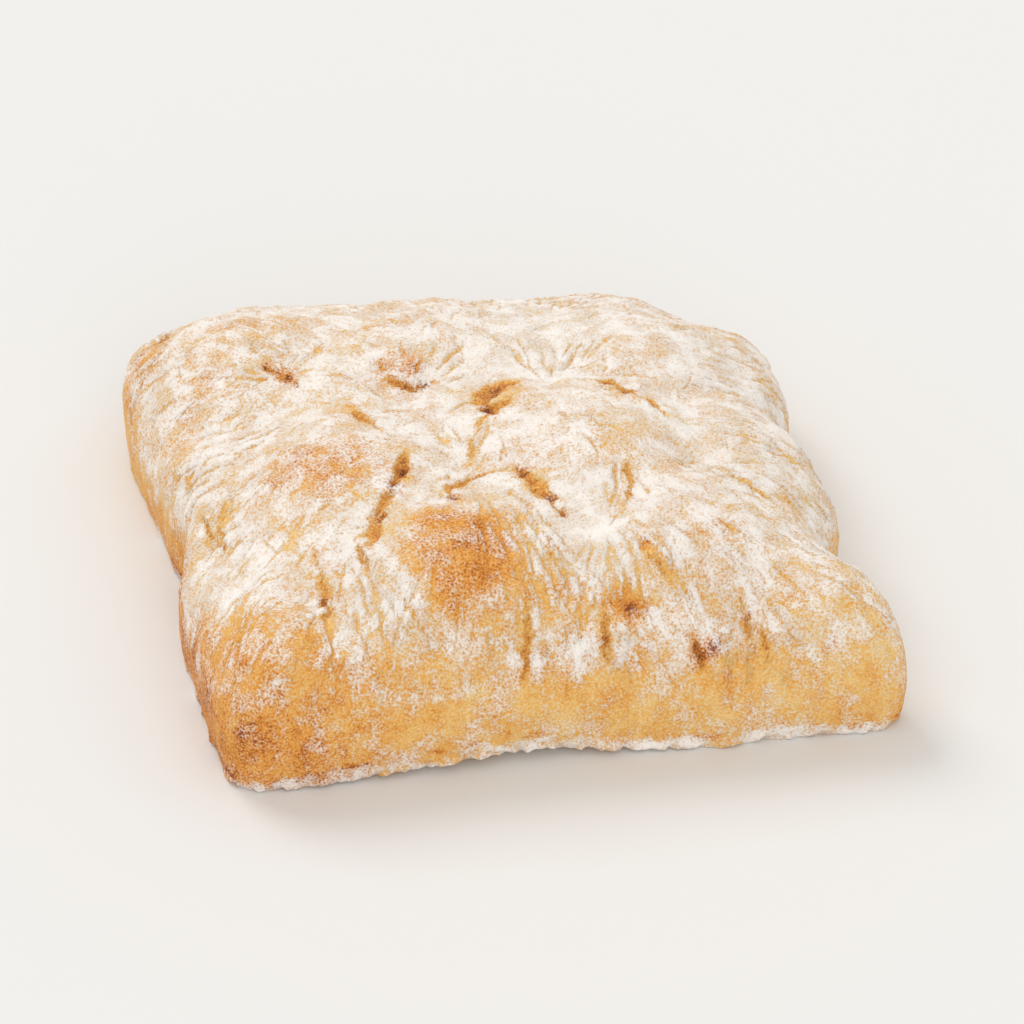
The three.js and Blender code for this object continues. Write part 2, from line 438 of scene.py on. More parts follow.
# %% Tears
# path, width, depth, how much the side on the left of the path stands up, all in mm
TEARS = [
    ([(-20, -10), (-21.5, -15), (-25, -21)], 3.4, 1.3, 0.4),
    ([(-25, -21), (-28.5, -27)], 2.6, 1.1, 0.4),
    ([(-27.5, -25), (-30.5, -31), (-33.5, -39)], 3.2, 1.2, 0.4),
    ([(-12, -28), (-14.5, -25), (-13, -21), (-9, -18), (-4, -17.4), (-1, -18)], 2.3, 0.9, -0.5),
    ([(-2, -18.5), (1.5, -22.5), (4, -28.5), (7, -35)], 2.8, 1.0, -0.4),
    ([(-65, 69), (-64, 63), (-64, 56)], 1.3, 0.8, 0.3),
    ([(-4, 1.5), (-2, 5), (1, 8), (5.5, 9.5)], 5.8, 0.6, 0.2),
    ([(-5, 1), (-1, 0), (3, 2.5)], 2.6, 1.0, 0),
    ([(-2, 1), (-6, -6), (-8, -13)], 1.1, 0.35, 0.2),
    ([(13.5, 8.5), (19, 7.5), (24, 3.5), (29, -1.5), (33, -8)], 3.8, 0.7, -0.5),
    ([(43, -22), (47, -28), (51, -34)], 1.5, 0.6, 0.3),
    ([(-44, 32), (-42.5, 29.5), (-39.5, 27), (-37, 22.5)], 1.3, 1.1, 0.3),
    ([(-19.5, 18), (-15.5, 15), (-10.5, 14.5)], 1.5, 0.6, 0.7),
    ([(30, -70), (32, -75), (35, -80)], 1.8, 0.9, -0.5),
    ([(-5, -58), (-7, -68), (-9.5, -80)], 1.4, 0.9, 0.3),
    ([(20, -46), (22, -51), (25, -57)], 1.1, 0.6, 0.2),
    ([(-45, -32), (-44, -42), (-45, -50), (-48, -57)], 1.3, 0.8, 0.3),
    ([(-35, -34), (-35, -44)], 1.2, 0.7, 0.2),
    ([(-73, -4), (-69, -14), (-65, -22)], 1.3, 0.7, 0.2),
    ([(-63, -5), (-65, -14), (-65, -22)], 1.2, 0.5, 0.2),
    ([(-29, 11), (-27, 4), (-24, -1)], 2.0, 0.4, 0.2),
    ([(40, -59), (42, -66), (43, -73)], 1.2, 0.6, 0.2),
    ([(44, -67), (47, -74), (49, -83)], 1.1, 0.6, 0.2),
    ([(11, -58), (11, -67), (11.5, -79)], 1.1, 0.5, 0.2),
    ([(1.5, -38), (2, -47)], 0.9, 0.5, 0.2),
    ([(21, -20), (20, -29), (17, -37)], 1.0, 0.4, 0.2),
]
LIP_HEIGHT = 0.22
LIP_SPREAD = 0.5
STEP_SPREAD = 4  # mm over which the side that stands up falls away
TEAR_MARGIN = 3.2  # mm over which the field below rises from 0 to 1

ragged_x = flat_x + 0.9 * hills(puffed, 3.0, 31) + 0.5 * hills(puffed, 1.3, 32)
ragged_y = flat_y + 0.9 * hills(puffed, 3.0, 33) + 0.5 * hills(puffed, 1.3, 34)
uneven = np.clip(1 + 0.7 * hills(puffed, 3.5, 35), 0.35, 1.4)
tear_relief = np.zeros_like(flat_x)
tear_field = np.zeros_like(flat_x)
for path, width, depth, step in TEARS:
    away, share, beside = follow(ragged_x, ragged_y, path)
    narrowing = np.clip(4.5 * share * (1 - share), 0, 1) ** 0.6
    half = np.maximum(width / 2 * narrowing * uneven, 0.05)
    trench = np.clip(1 - (away / half) ** 2, 0, 1) ** 1.2
    lip = bell(away - 1.25 * half, LIP_SPREAD) * narrowing
    tear_relief += -depth * narrowing * trench + LIP_HEIGHT * lip
    tear_relief += step * beside * bell(away, STEP_SPREAD) * (1 - trench) * narrowing
    inwards = narrowing * half - away
    tear_field = np.maximum(tear_field, 0.5 + inwards / TEAR_MARGIN)
print(len(TEARS), "tears, the deepest", -tear_relief.min().round(2), "mm")

# %% [markdown]
# ## Creases
# Fine wrinkles gather the skin. They fan out from the finger dents and run down over the shoulder
# like the folds of a cushion. There are hundreds, too many to place by hand, so only the fans have
# places, and every crease is drawn at random. Each is a short, slightly bent path, much finer than
# a tear, with a groove and a low ridge on both sides. Flour can't reach the bottom of a deep one,
# so it shows as a thin golden line of bare crust, which is also painted shade in the groove.

# %% Creases
# where a fan starts on the skin laid flat, its heading and opening in degrees, its reach, how many
FANS = [
    (12, 8, 82, 80, 22, 10), (-8, -17, -78, 46, 52, 18), (-37, -36, -92, 70, 36, 16),
    (14, -34, -84, 70, 42, 18), (41, -56, -82, 60, 30, 13), (-65, -22, 102, 60, 22, 9),
    (35, -19, -40, 80, 22, 11), (-39, 27, 100, 160, 16, 10), (-15, 14, 60, 120, 16, 9),
    (-8, -13, 120, 120, 14, 8), (20, -20, -100, 50, 20, 7), (-58, -36, -120, 60, 34, 10),
    (62, -40, -60, 70, 26, 10), (60, 20, -10, 90, 24, 11), (58, 50, 40, 80, 30, 7),
    (20, 58, 88, 90, 26, 13), (-20, 56, 95, 80, 28, 13), (-60, 52, 140, 90, 28, 12),
    (-66, 10, 180, 90, 24, 11), (66, -8, -20, 80, 22, 10),
]
CREASE_MARGIN = 2.4  # mm over which the field below falls from 1 to 0
CREASE_LOWEST = -1.0
CREASE_HIGHEST = 0.35

draw = np.random.default_rng(7)
soft_x = flat_x + 0.7 * hills(puffed, 5.0, 41) + 0.25 * hills(puffed, 1.8, 43)
soft_y = flat_y + 0.7 * hills(puffed, 5.0, 42) + 0.25 * hills(puffed, 1.8, 44)
creased = np.zeros_like(flat_x)
crease_field = np.zeros_like(flat_x)


def crease(path, depth, width):
    """Presses one groove into the skin, deepest in the middle of its path.

    With u = distance / width its height is depth * (1.1 * u ** 2 - 1) * exp(-u ** 2), so it has
    a ridge a sixth as high as the groove is deep. Only the points near the path are worked out.
    The crease's field is about 1 in its middle and falls with the distance. A deep crease's is
    a little higher.
    """
    low_x, low_y = np.min(path, axis=0) - 4
    high_x, high_y = np.max(path, axis=0) + 4
    near = (soft_x > low_x) & (soft_x < high_x) & (soft_y > low_y) & (soft_y < high_y)
    away, share, _ = follow(soft_x[near], soft_y[near], path)
    fading = np.sin(np.pi * np.clip(share, 0, 1)) ** 0.6
    creased[near] += depth * fading * (1.1 * (away / width) ** 2 - 1) * bell(away, width)
    field = 1 - away / CREASE_MARGIN - 0.25 * (1 - fading) + 0.1 * (depth - 0.5)
    crease_field[near] = np.maximum(crease_field[near], field)


def bent_ray(x, y, heading, near, far, bend):
    """A path of three points going out from x, y that turns by `bend` as it goes."""
    reach = np.linspace(near, far, 3)
    turned = heading + bend * (reach - near) / (far - near)
    return list(zip(x + reach * np.cos(turned), y + reach * np.sin(turned)))


for x, y, heading, opening, reach, number in FANS:
    for n in range(number):
        aside = (n + draw.uniform(-0.4, 0.4)) / (number - 1) - 0.5
        towards = math.radians(heading + opening * aside)
        near = draw.uniform(0.05, 0.5) * reach
        far = near + draw.uniform(0.2, 0.7) * reach
        path = bent_ray(x, y, towards, near, far, -0.25 * aside + draw.uniform(-0.12, 0.12))
        crease(path, depth=draw.uniform(0.15, 0.8), width=draw.uniform(0.4, 0.8))
print(sum(fan[-1] for fan in FANS), "creases in", len(FANS), "fans")

# %% Creases that run down over the shoulder, and short ones everywhere
SHOULDER_CREASES = 170
SHORT_CREASES = 320
for number in range(SHOULDER_CREASES):
    heading = 2 * math.pi * (number + draw.uniform(-0.4, 0.4)) / SHOULDER_CREASES
    square = max(abs(math.cos(heading)), abs(math.sin(heading)))
    top = draw.uniform(40, 66) / square
    path = bent_ray(0, 0, heading, top, top + draw.uniform(8, 24), draw.uniform(-0.05, 0.05))
    crease(path, depth=draw.uniform(0.1, 0.5), width=draw.uniform(0.4, 0.9))
for number in range(SHORT_CREASES):
    x, y = draw.uniform(-80, 80, 2)
    heading = math.atan2(y, x) + draw.normal(0, 0.5)
    path = bent_ray(x, y, heading, 0, draw.uniform(3, 11), draw.uniform(-0.5, 0.5))
    crease(path, depth=draw.uniform(0.1, 0.4), width=draw.uniform(0.35, 0.6))
creased = np.clip(creased, CREASE_LOWEST, CREASE_HIGHEST)
print("creases from", creased.min().round(2), "to", creased.max().round(2), "mm")

# %% [markdown]
# ## Blisters
# Bubbles just under the skin lift it into small round blisters, which brown first. A ball stuck on
# would leave a hard edge, so each one swells the skin itself, as a flattened cap. A few large ones
# have places, and the small ones are scattered at random.

# %% Blisters
# x and y on the skin laid flat, radius, height
BLISTERS = [
    (17, -62, 2.0, 0.7), (16.5, -67, 1.7, 0.6), (36, -74, 2.8, 0.9), (-14, 19, 3.0, 0.7),
    (2, 6, 2.4, 0.6), (62, -76, 1.8, 0.5), (-6, 26, 2.2, 0.5), (47, 41, 2.0, 0.5),
    (-52, -60, 1.8, 0.4), (-69, -63, 2.4, 0.5), (29, 6, 1.8, 0.4), (-3, -72, 3.0, 0.5),
    (5, -74, 2.2, 0.5), (-38, -20, 2.6, 0.4), (-44, -6, 2.8, 0.4),
]
SMALL_BLISTERS = 150
scattered = [
    (*draw.uniform(-85, 85, 2), draw.uniform(0.8, 1.8), draw.uniform(0.1, 0.35))
    for _ in range(SMALL_BLISTERS)
]
blisters = BLISTERS + scattered
blistered = np.zeros_like(flat_x)
for x, y, radius, tall in blisters:
    away = np.hypot(soft_x - x, soft_y - y) / radius
    blistered = np.maximum(blistered, tall * np.clip(1 - away ** 2, 0, 1) ** 0.7)
print(len(blisters), "blisters, the tallest", blistered.max().round(2), "mm")

# %% [markdown]
# ## The finished skin
# All the relief is laid over the puffed form along its own outward direction, so that a groove on
# the shoulder goes into the dough and not straight down. A thin edge of crust stands out at the
# foot. Two grooves that cross can leave a spike, which is softened. Then the whole shape is fitted
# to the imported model's box, so that both have exactly the same size and place.

# %% Helpers for the finished skin


def outward(points):
    """Unit normals of a grid of points, from the cross product of its two grid directions."""
    across = np.gradient(points, axis=1)
    along = np.gradient(points, axis=0)
    normal = np.cross(across, along)
    return normal / np.maximum(np.linalg.norm(normal, axis=-1, keepdims=True), 1e-9)


def softened(points, sharpest):
    """Pulls each point that stands off its neighbours' mean to at most `sharpest` from it."""
    mean = (points[:-2, 1:-1] + points[2:, 1:-1] + points[1:-1, :-2] + points[1:-1, 2:]) / 4
    off = points[1:-1, 1:-1] - mean
    distance = np.maximum(np.linalg.norm(off, axis=-1, keepdims=True), 1e-9)
    soft = points.copy()
    soft[1:-1, 1:-1] = mean + off * np.minimum(1, sharpest / distance)
    return soft


# %% The finished skin
LUMP_HEIGHT = 0.75
PIMPLE_HEIGHT = 0.24
CREASE_GAIN = 1.3  # makes all the creases deeper together
FOOT_LEDGE = 1.0  # how far the edge at the foot stands out
LEDGE_HEIGHT = 1.8
SHARPEST = 0.32  # the most that a point may stand off its neighbours' mean

# the wall is smoother than the top, and the relief ends before the foot, which stays on the tray
calm_wall = 0.35 + 0.65 * np.clip(rise * 4, 0, 1)
relief = (LUMP_HEIGHT * lumps + PIMPLE_HEIGHT * pimples) * calm_wall
relief += (tear_relief + CREASE_GAIN * creased + blistered) * np.clip(rise * 6, 0, 1)
above_foot = np.clip((1 - skin) * 12, 0, 1)
finished = puffed + outward(puffed) * (relief * above_foot)[..., None]

# the thin crust that spread on the tray stands out a little at the foot, most at the front, with a
# ragged edge
from_foot = np.maximum(plain[..., 2] - arch_height(angle), 0)
at_front = bell(turn_between(angle, -85), 55)
ragged = 0.6 + hills(puffed, 3.0, 45) + 0.8 * hills(puffed, 1.5, 47) + hills(puffed, 8.0, 46)
ledge = FOOT_LEDGE * (0.4 + 0.6 * at_front) * bell(from_foot, LEDGE_HEIGHT) * ragged
finished[..., 0] += ledge * np.cos(angle)
finished[..., 1] += ledge * np.sin(angle)
sharp = finished
finished = softened(softened(sharp, SHARPEST), SHARPEST)
print("softened by up to", np.abs(finished - sharp).max().round(2), "mm")

low, high = finished.min(axis=(0, 1)), finished.max(axis=(0, 1))
finished = loaf_low + (finished - low) * (loaf_high - loaf_low) / (high - low)
print("scaled by", ((loaf_high - loaf_low) / (high - low)).round(4), "to fill the box")

# %% [markdown]
# ## The base
# The underside was baked on a tray. It is flat, a little pitted, and hollow where the front edge
# lifted. One big face could close it, but it would have no points to pit. So rings of points run in
# from the foot of the wall, and each ring has half as many points as the one outside it, so the
# faces stay well shaped all the way to the middle.

# %% The base
BASE_SHARES = (0.955, 0.915, 0.86, 0.77, 0.61, 0.4, 0.2)  # size of each ring against the outline
HOLLOW_SHARE = 0.7  # the hollow under the front edge ends at this share of the outline
PIT_DEPTH = 0.35

count = side.size
last = count - 1
steps = np.arange(last)
foot_loop = np.concatenate([
    steps, steps * count + last, last * count + last - steps, (last - steps) * count,
])
points = finished.reshape(-1, 3)
loops = [foot_loop]
base_faces = []
outline = points[foot_loop]
for share in BASE_SHARES:
    outer = loops[-1]
    chosen = outline[:: outline.shape[0] * 2 // outer.size]
    inner = chosen * share
    arched = chosen[:, 2] * np.clip((share - HOLLOW_SHARE) / (1 - HOLLOW_SHARE), 0, 1)
    pits = PIT_DEPTH * np.clip(hills(inner, 7.0, 51), 0, 1)
    inner[:, 2] = arched + pits
    numbers = points.shape[0] + np.arange(inner.shape[0])
    points = np.concatenate([points, inner])
    first, middle, third = outer[0::2], outer[1::2], np.roll(outer[0::2], -1)
    following = np.roll(numbers, -1)
    base_faces += np.stack([first, numbers, middle], axis=1).tolist()
    base_faces += np.stack([middle, numbers, following], axis=1).tolist()
    base_faces += np.stack([middle, following, third], axis=1).tolist()
    loops.append(numbers)
base_faces.append(loops[-1][::-1].tolist())
print("base:", len(base_faces), "faces in", len(loops) - 1, "rings")

# %% [markdown]
# ## Where the flour lies and where the crust browned
# Flour was dusted over the shaped dough and stays on in a nearly even coat, thinnest where the
# crust puffed and browned most. The low wall was covered by its neighbours in the tray, so it has
# little flour and is pale in front, darker on the left, with a line of flour at the foot. A painted
# picture could say all this, but it would be tied to one map. Here the coats are worked out at
# every point and kept in the mesh as attributes, which the finish reads. 0 is none and 1 is full.

# %% Flour and browning of the top
EVEN_COAT = 0.865
EVEN_BROWNING = 0.16
PATCH_FLOUR = 1.15  # how strongly the patches below change the flour and the browning
PATCH_BROWNING = 0.75

# x and y on the skin laid flat, half width, half height, change of flour, change of browning
PATCHES = [
    (-16.5, -43, 11.5, 14.5, -0.64, 0.54), (-12, -57, 14, 8, -0.28, 0.2),
    (-38, -13, 15, 11, -0.46, 0.42), (-66, -66, 22, 25, -0.42, 0.2), (-76, -84, 16, 12, -0.15, 0.2),
    (-40, -73, 15, 9, -0.26, 0.16), (67, -73, 16, 12, -0.34, -0.08), (38, -45, 6, 7, -0.2, 0.16),
    (17, -63, 3.2, 6, -0.6, 0.5), (-90, -4, 10, 22, -0.3, 0.2), (-76, 58, 13, 9, -0.3, 0.3),
    (-80, -62, 16, 24, -0.1, 0.2), (-15.5, 18.5, 7, 4.5, -0.24, 0.45), (-40, 27, 3.5, 3, -0.2, 0.5),
    (1.5, 5, 6, 5, -0.45, 0.0), (54, -34, 8, 6, -0.3, 0.12), (63, -14, 6, 5, -0.25, 0.1),
    (-28, 6, 5, 7, -0.28, 0.18), (33, -75, 4, 5, -0.3, 0.7), (12, -4, 8, 6, -0.1, 0.12),
    (-46, 46, 14, 6, -0.15, 0.15), (64, 30, 10, 9, -0.12, 0.1), (88, 4, 9, 26, -0.3, 0.14),
    (40, 82, 24, 10, -0.3, 0.24), (-34, 86, 20, 9, -0.26, 0.2), (-72, 80, 12, 10, -0.3, 0.3),
    (76, 62, 12, 14, -0.3, 0.28), (8, -44, 12, 14, 0.22, -0.05), (0, -66, 60, 13, -0.22, 0.12),
    (-92, -50, 14, 40, -0.15, 0.28), (60, 55, 14, 10, -0.12, 0.12), (30, 50, 10, 7, -0.1, 0.1),
    (14, -14, 12, 8, -0.12, 0.1), (-60, 30, 12, 8, -0.16, 0.18), (-76, 24, 10, 12, -0.16, 0.16),
    (-22, 34, 7, 6, -0.15, 0.1), (-8, -75, 7, 4, 0.35, 0), (9, -74, 6, 4, 0.3, 0),
    (-36, -52, 6, 12, 0.16, 0), (16, 32, 22, 20, 0.1, -0.1), (40, -72, 6, 7, 0.25, 0),
    (-68, -40, 12, 6, 0.06, 0), (-46, -30, 10, 8, -0.14, 0.1),
]

# the darkest spots: painted shade deep in the tears, browning on blisters. x and y, radius, browning
SCORCH_AND_SHADE_SPOTS = [
    (-24.5, -20.5, 1.6, 0.7), (-21, -15.5, 1.3, 0.5), (-29, -28, 1.2, 0.4), (-14.3, -26, 1.5, 0.7),
    (0, -20.5, 1.4, 0.6), (4.2, -29, 1.4, 0.7), (6, -33, 1.2, 0.6), (-3, 0.5, 1.5, 0.8),
    (-1, -18.6, 1.2, 0.4), (-43, 30.5, 1.2, 0.8), (-39, 26, 1.2, 0.9), (-37.5, 23.5, 1.0, 0.8),
    (-16, 15, 1.2, 0.6), (-12.5, 14.5, 1.2, 0.8), (33, -77, 1.6, 0.35), (-8.5, -75, 1.4, 0.6),
    (21, -47, 1.3, 0.6), (-44.5, -46, 1.4, 0.6), (17, -62, 1.0, 0.25), (62, -76, 1.0, 0.6),
    (25, 1, 1.4, 0.3), (11, -70, 1.2, 0.4), (41.5, -65, 1.2, 0.4), (47, -74, 1.2, 0.4),
    (1, 8, 1.0, 0.4), (-64.5, 63, 1.8, 0.8), (-66, -21, 1.0, 0.4),
]

wide_x = flat_x + 3.5 * hills(puffed, 12.0, 61) + 2.0 * hills(puffed, 4.0, 64)
wide_y = flat_y + 3.5 * hills(puffed, 12.0, 62) + 2.0 * hills(puffed, 4.0, 65)
coat = EVEN_COAT + 0.12 * layered_hills(puffed, 14, 63, layers=4)
browning = EVEN_BROWNING + 0.1 * layered_hills(puffed, 18, 66, layers=4)
for x, y, half_x, half_y, more_flour, more_browning in PATCHES:
    away = np.hypot((wide_x - x) / half_x, (wide_y - y) / half_y)
    share = np.exp(-away ** 4)
    coat += PATCH_FLOUR * more_flour * share
    browning += PATCH_BROWNING * more_browning * share
# these darken the colour: painted shade in the narrow tears, real browning on the blisters
for x, y, radius, more_browning in SCORCH_AND_SHADE_SPOTS:
    browning += more_browning * bell(np.hypot(ragged_x - x, ragged_y - y), radius)

# flour gathers on the ridges beside the creases, and blisters shed it and brown
coat += 0.25 * np.clip(creased / 0.12, 0, 1) - 0.3 * blistered
browning += 0.3 * blistered
print(len(PATCHES), "patches and", len(SCORCH_AND_SHADE_SPOTS), "scorched spots")

# %% Flour and browning of the wall, the foot and the base
PALE_WALL_TOP = 20.0  # height of the top of the bare band
PALE_WALL_EDGE = 1.5  # height over which the flour sets in
PALE_WALL_COAT = 0.1
PALE_WALL_BROWNING = 0.13
FOOT_LINE = 2.9  # height of the floury line at the foot
FOOT_LINE_EDGE = 0.25
FOOT_LINE_COAT = 0.8

# the bare band is tallest at the front. Hills squeezed in z make streaks that run up the wall,
# where it brushed its neighbours.
height = finished[..., 2]
streaks = hills(puffed * (1, 1, 0.2), 2.6, 75) + 0.6 * hills(puffed * (1, 1, 0.3), 1.2, 76)
band_edge = PALE_WALL_TOP * (0.68 + 0.32 * at_front) + 1.6 * hills(puffed, 2.5, 72)
band_edge += (4.5 - 2 * at_front) * hills(puffed, 11.0, 71) + 1.8 * streaks
below = 1 / (1 + np.exp((height - band_edge) / PALE_WALL_EDGE))
at_left = bell(turn_between(angle, 200), 45)
wall_coat = PALE_WALL_COAT + 0.14 * streaks + 0.14 * layered_hills(puffed, 9.0, 77)
wall_browning = PALE_WALL_BROWNING + 0.12 * streaks + 0.15 * layered_hills(puffed, 7.0, 79)
wall_coat -= 0.14 * at_left
wall_browning += 0.36 * at_left
coat = coat * (1 - below) + wall_coat * below
browning = browning * (1 - 0.4 * below) + wall_browning * below

# the line of flour at the foot, and patchy darker spots along a line just above it
foot_edge = FOOT_LINE + 1.5 * hills(puffed, 8.0, 73) + 0.9 * hills(puffed, 2.2, 74)
floury = np.clip(at_front + 0.3 + 1.5 * hills(puffed, 12.0, 80), 0, 1)
coat += FOOT_LINE_COAT * floury / (1 + np.exp((from_foot - foot_edge) / FOOT_LINE_EDGE))
# a patchy band just above the flour at the foot is made darker
dark_line_above_foot = bell(from_foot - foot_edge - 0.5, 0.7) * np.clip(2 * hills(puffed, 5.0, 78), 0, 1)
browning += 0.5 * dark_line_above_foot

# the underside is browner and has less flour
base_points = points[skin.size:]
base_coat = 0.5 + 0.3 * layered_hills(base_points, 12, 81)
base_browning = 0.38 + 0.2 * layered_hills(base_points, 20, 84)
print("the bare band covers", (100 * below.mean()).round(), "% of the skin's points")

# %% [markdown]
# Over the shoulder the skin is drawn into fine pleats that run outwards, finer than the mesh. Noise
# read at a point's own place has no direction. So every point also keeps a place in an imaginary
# space, where going out from the middle is slow and going round is fast. Noise read there comes
# out as long thin folds that all point away from the middle.

# %% Everything that the finish reads from the mesh
GOING_ROUND = 60  # mm from the middle to the imaginary circle that every direction lies on
GOING_OUT = 0.16  # imaginary mm for each real one
PLEATS_BEGIN = 30  # mm from the middle of the top
PLEATS_MIDDLE = -14  # y of the place that they run out from


def all_round(on_skin, on_base):
    """One value per point of the mesh: the skin's grid first, then the base."""
    return np.clip(np.concatenate([on_skin.ravel(), on_base]), 0, 1).astype(np.float32)


around = np.stack([np.cos(angle), np.sin(angle)], axis=-1) * GOING_ROUND * MM
outwards = GOING_OUT * np.hypot(flat_x, flat_y)[..., None] * MM
pleat_points = np.concatenate([around, outwards], axis=-1).reshape(-1, 3)
pleat_points = np.concatenate([pleat_points, base_points * MM])

from_middle = np.hypot(flat_x, flat_y - PLEATS_MIDDLE)
pleated_skin = (from_middle - PLEATS_BEGIN) / PLEATS_BEGIN * (1 - 0.7 * below)
none_on_base = np.zeros(base_points.shape[0])
attributes = {
    "flour": all_round(coat, base_coat),
    # the browning kept here also holds the painted shade of the darkest spots in the tears
    "browning": all_round(browning, base_browning),
    "tears": all_round(tear_field, none_on_base),
    "creases": all_round(crease_field * (1 - below), none_on_base),
    "pleated": all_round(pleated_skin, none_on_base),
}
for name, values in attributes.items():
    print(name, "mean", values.mean().round(2), "highest", values.max().round(2))

# %% [markdown]
# ## The mesh
# The grid's points become faces of four corners, wound so that they face out, and the base closes
# the solid. The map for baking gives the top nearly the whole picture and the base a corner of it.

# %% The mesh
BASE_MAP_SIDE = 0.18  # share of the map's side that the base takes
MAP_GAP = 0.01

corner = (np.arange(last)[:, None] * count + np.arange(last)).ravel()
top_faces = np.stack([corner, corner + 1, corner + count + 1, corner + count], axis=1).tolist()
loaf_mesh = bpy.data.meshes.new("loaf")
loaf_mesh.from_pydata((points * MM).tolist(), [], top_faces + base_faces)
loaf_mesh.update()
loaf_mesh.polygons.foreach_set("use_smooth", np.ones(len(loaf_mesh.polygons), bool))
for name, values in attributes.items():
    loaf_mesh.attributes.new(name, "FLOAT", "POINT").data.foreach_set("value", values)
pleat_attribute = loaf_mesh.attributes.new("pleat_place", "FLOAT_VECTOR", "POINT")
pleat_attribute.data.foreach_set("vector", pleat_points.astype(np.float32).ravel())

corner_points = np.empty(len(loaf_mesh.loops), int)
loaf_mesh.loops.foreach_get("vertex_index", corner_points)
on_top_map = np.stack([column.ravel(), row.ravel()], axis=1) / RINGS / 2 + 0.5
on_top_map = np.concatenate([on_top_map, np.zeros((len(base_points), 2))])
top_map_start = BASE_MAP_SIDE + MAP_GAP
on_top_map[:, 1] = top_map_start + (1 - top_map_start) * on_top_map[:, 1]
on_base_map = (points[:, :2] - loaf_low[:2]) / (loaf_high - loaf_low)[:2] * BASE_MAP_SIDE
is_base = np.arange(corner_points.size) >= 4 * len(top_faces)
uv = np.where(is_base[:, None], on_base_map[corner_points], on_top_map[corner_points])
loaf_mesh.uv_layers.new(name="OFBake").data.foreach_set("uv", uv.astype(np.float32).ravel())

loaf = bpy.data.objects.new("loaf", loaf_mesh)
bpy.context.scene.collection.objects.link(loaf)
loaf_mesh.calc_loop_triangles()
print("loaf:", len(loaf_mesh.vertices), "points,", len(loaf_mesh.loop_triangles), "triangles")

# %% [markdown]
# ## The finish: toasted crust under flour
# Baked crust is a dull, dry skin. It goes from straw yellow where it is pale to chestnut where it
# is toasted, and it scatters light with only a faint sheen. Flour is a fine white powder with no
# gloss at all. Flour could be a second mesh of grains, but it would take millions. So it is colour
# and bump on the crust. Whether a spot shows flour or crust depends on the coat there and on the
# grain, so the coat breaks up into specks as it thins.
#
# Grains of flour are about 0.05 mm, too fine to show. They are drawn as the little clumps that they
# form, which the eye can still tell apart.

# %% Sizes of the patterns, in metres
FINE_GRAIN = 0.00045  # the finest clumps of flour and grain of the crust, coarser than real
SPECK = 0.0013  # a larger clump of flour
CLUMP = 0.005  # where the clumps gather
FLAKE = 0.006  # a flake of caked flour
MOTTLE = 0.005  # uneven toasting
PLEAT = 0.0018  # from one fine pleat of the shoulder to the next
CRACK = 0.006  # from one hair crack in the flour to the next

# baked wheat crust: matt and mottled, from straw to chestnut, softened by the white powder on it.
# Dry starch is no metal, and the shader's own IOR of 1.5 suits it.
crust, tree, shader = new_material("toasted_crust_with_flour")
shader.inputs["Roughness"].default_value = 0.86
place = add_node(tree, "ShaderNodeTexCoord", output="Object")
speck = add_node(tree, NOISE, {"Vector": place, "Scale": 1 / SPECK, "Detail": 4, "Roughness": 0.7})
fine = add_node(tree, NOISE, {"Vector": place, "Scale": 1 / FINE_GRAIN, "Detail": 3})

# %% [markdown]
# One flat tan would look like putty, because real toasting is uneven at every size. So two noises,
# one of 5 mm and one finer than a millimetre, are added to the browning kept in the mesh, and a
# ramp turns the sum into a colour.

# %% Colour of the bare crust
browned = add_node(tree, KEPT, output="Fac", attribute_name="browning")
mottle = add_node(tree, NOISE, {"Vector": place, "Scale": 1 / MOTTLE, "Detail": 6, "Roughness": 0.7})
toasted = add_node(tree, MATH, {0: mottle, 1: 0.8, 2: browned}, operation="MULTIPLY_ADD")
toasted = add_node(tree, MATH, {0: fine, 1: 1.6, 2: toasted}, operation="MULTIPLY_ADD")
toasted = add_node(tree, MATH, {0: toasted, 1: 1.19}, operation="SUBTRACT", use_clamp=True)
bare = add_node(tree, RAMP, {"Fac": toasted}, stops=[
    (0.0, "#F0CC8B"), (0.25, "#EAB767"), (0.5, "#E5A24B"), (0.75, "#D2822F"), (1.0, "#8F481B"),
])

# %% [markdown]
# Tears and creases are kept in the mesh as soft fields: a tear's edge is where its field passes
# 0.5, and the middle of a crease is where its field is about 1. A plain mask kept at the points
# would be as coarse as the mesh. A soft field plus a little noise, compared with one value, draws
# an edge that is much crisper and more ragged.
#
# The inside of a tear is soft dough, golden where it is shallow. Towards the bottom, where the
# field is highest, it is painted darker, to nut brown: painted shade of the deep tear, added to
# the browning kept in the mesh.

# %% Tears, which show the golden inside, darker towards the bottom
tears = add_node(tree, KEPT, output="Fac", attribute_name="tears")
frayed = add_node(tree, MATH, {0: speck, 1: 0.9, 2: tears}, operation="MULTIPLY_ADD")
torn = add_node(tree, RANGE, {"Value": frayed, "From Min": 0.94, "From Max": 1.04})
thinned = add_node(tree, RANGE, {"Value": frayed, "From Min": 0.6, "From Max": 1.0})
# the deeper into the tear, the darker the colour: painted shade, plus the crust's own browning
deep = add_node(tree, MATH, {0: fine, 1: 1.8, 2: frayed}, operation="MULTIPLY_ADD")
deep = add_node(tree, RANGE, {"Value": deep, "From Min": 1.7, "From Max": 3.1})
deep = add_node(tree, MATH, {0: browned, 1: 0.7, 2: deep}, operation="MULTIPLY_ADD")
inside = add_node(tree, RAMP, {"Fac": deep}, stops=[
    (0.1, "#F0C47A"), (0.3, "#E2A551"), (0.55, "#C67E36"), (0.9, "#743A16"),
])
dough = add_node(tree, MIX, {0: torn, 6: bare, 7: inside}, output=2, data_type="RGBA")

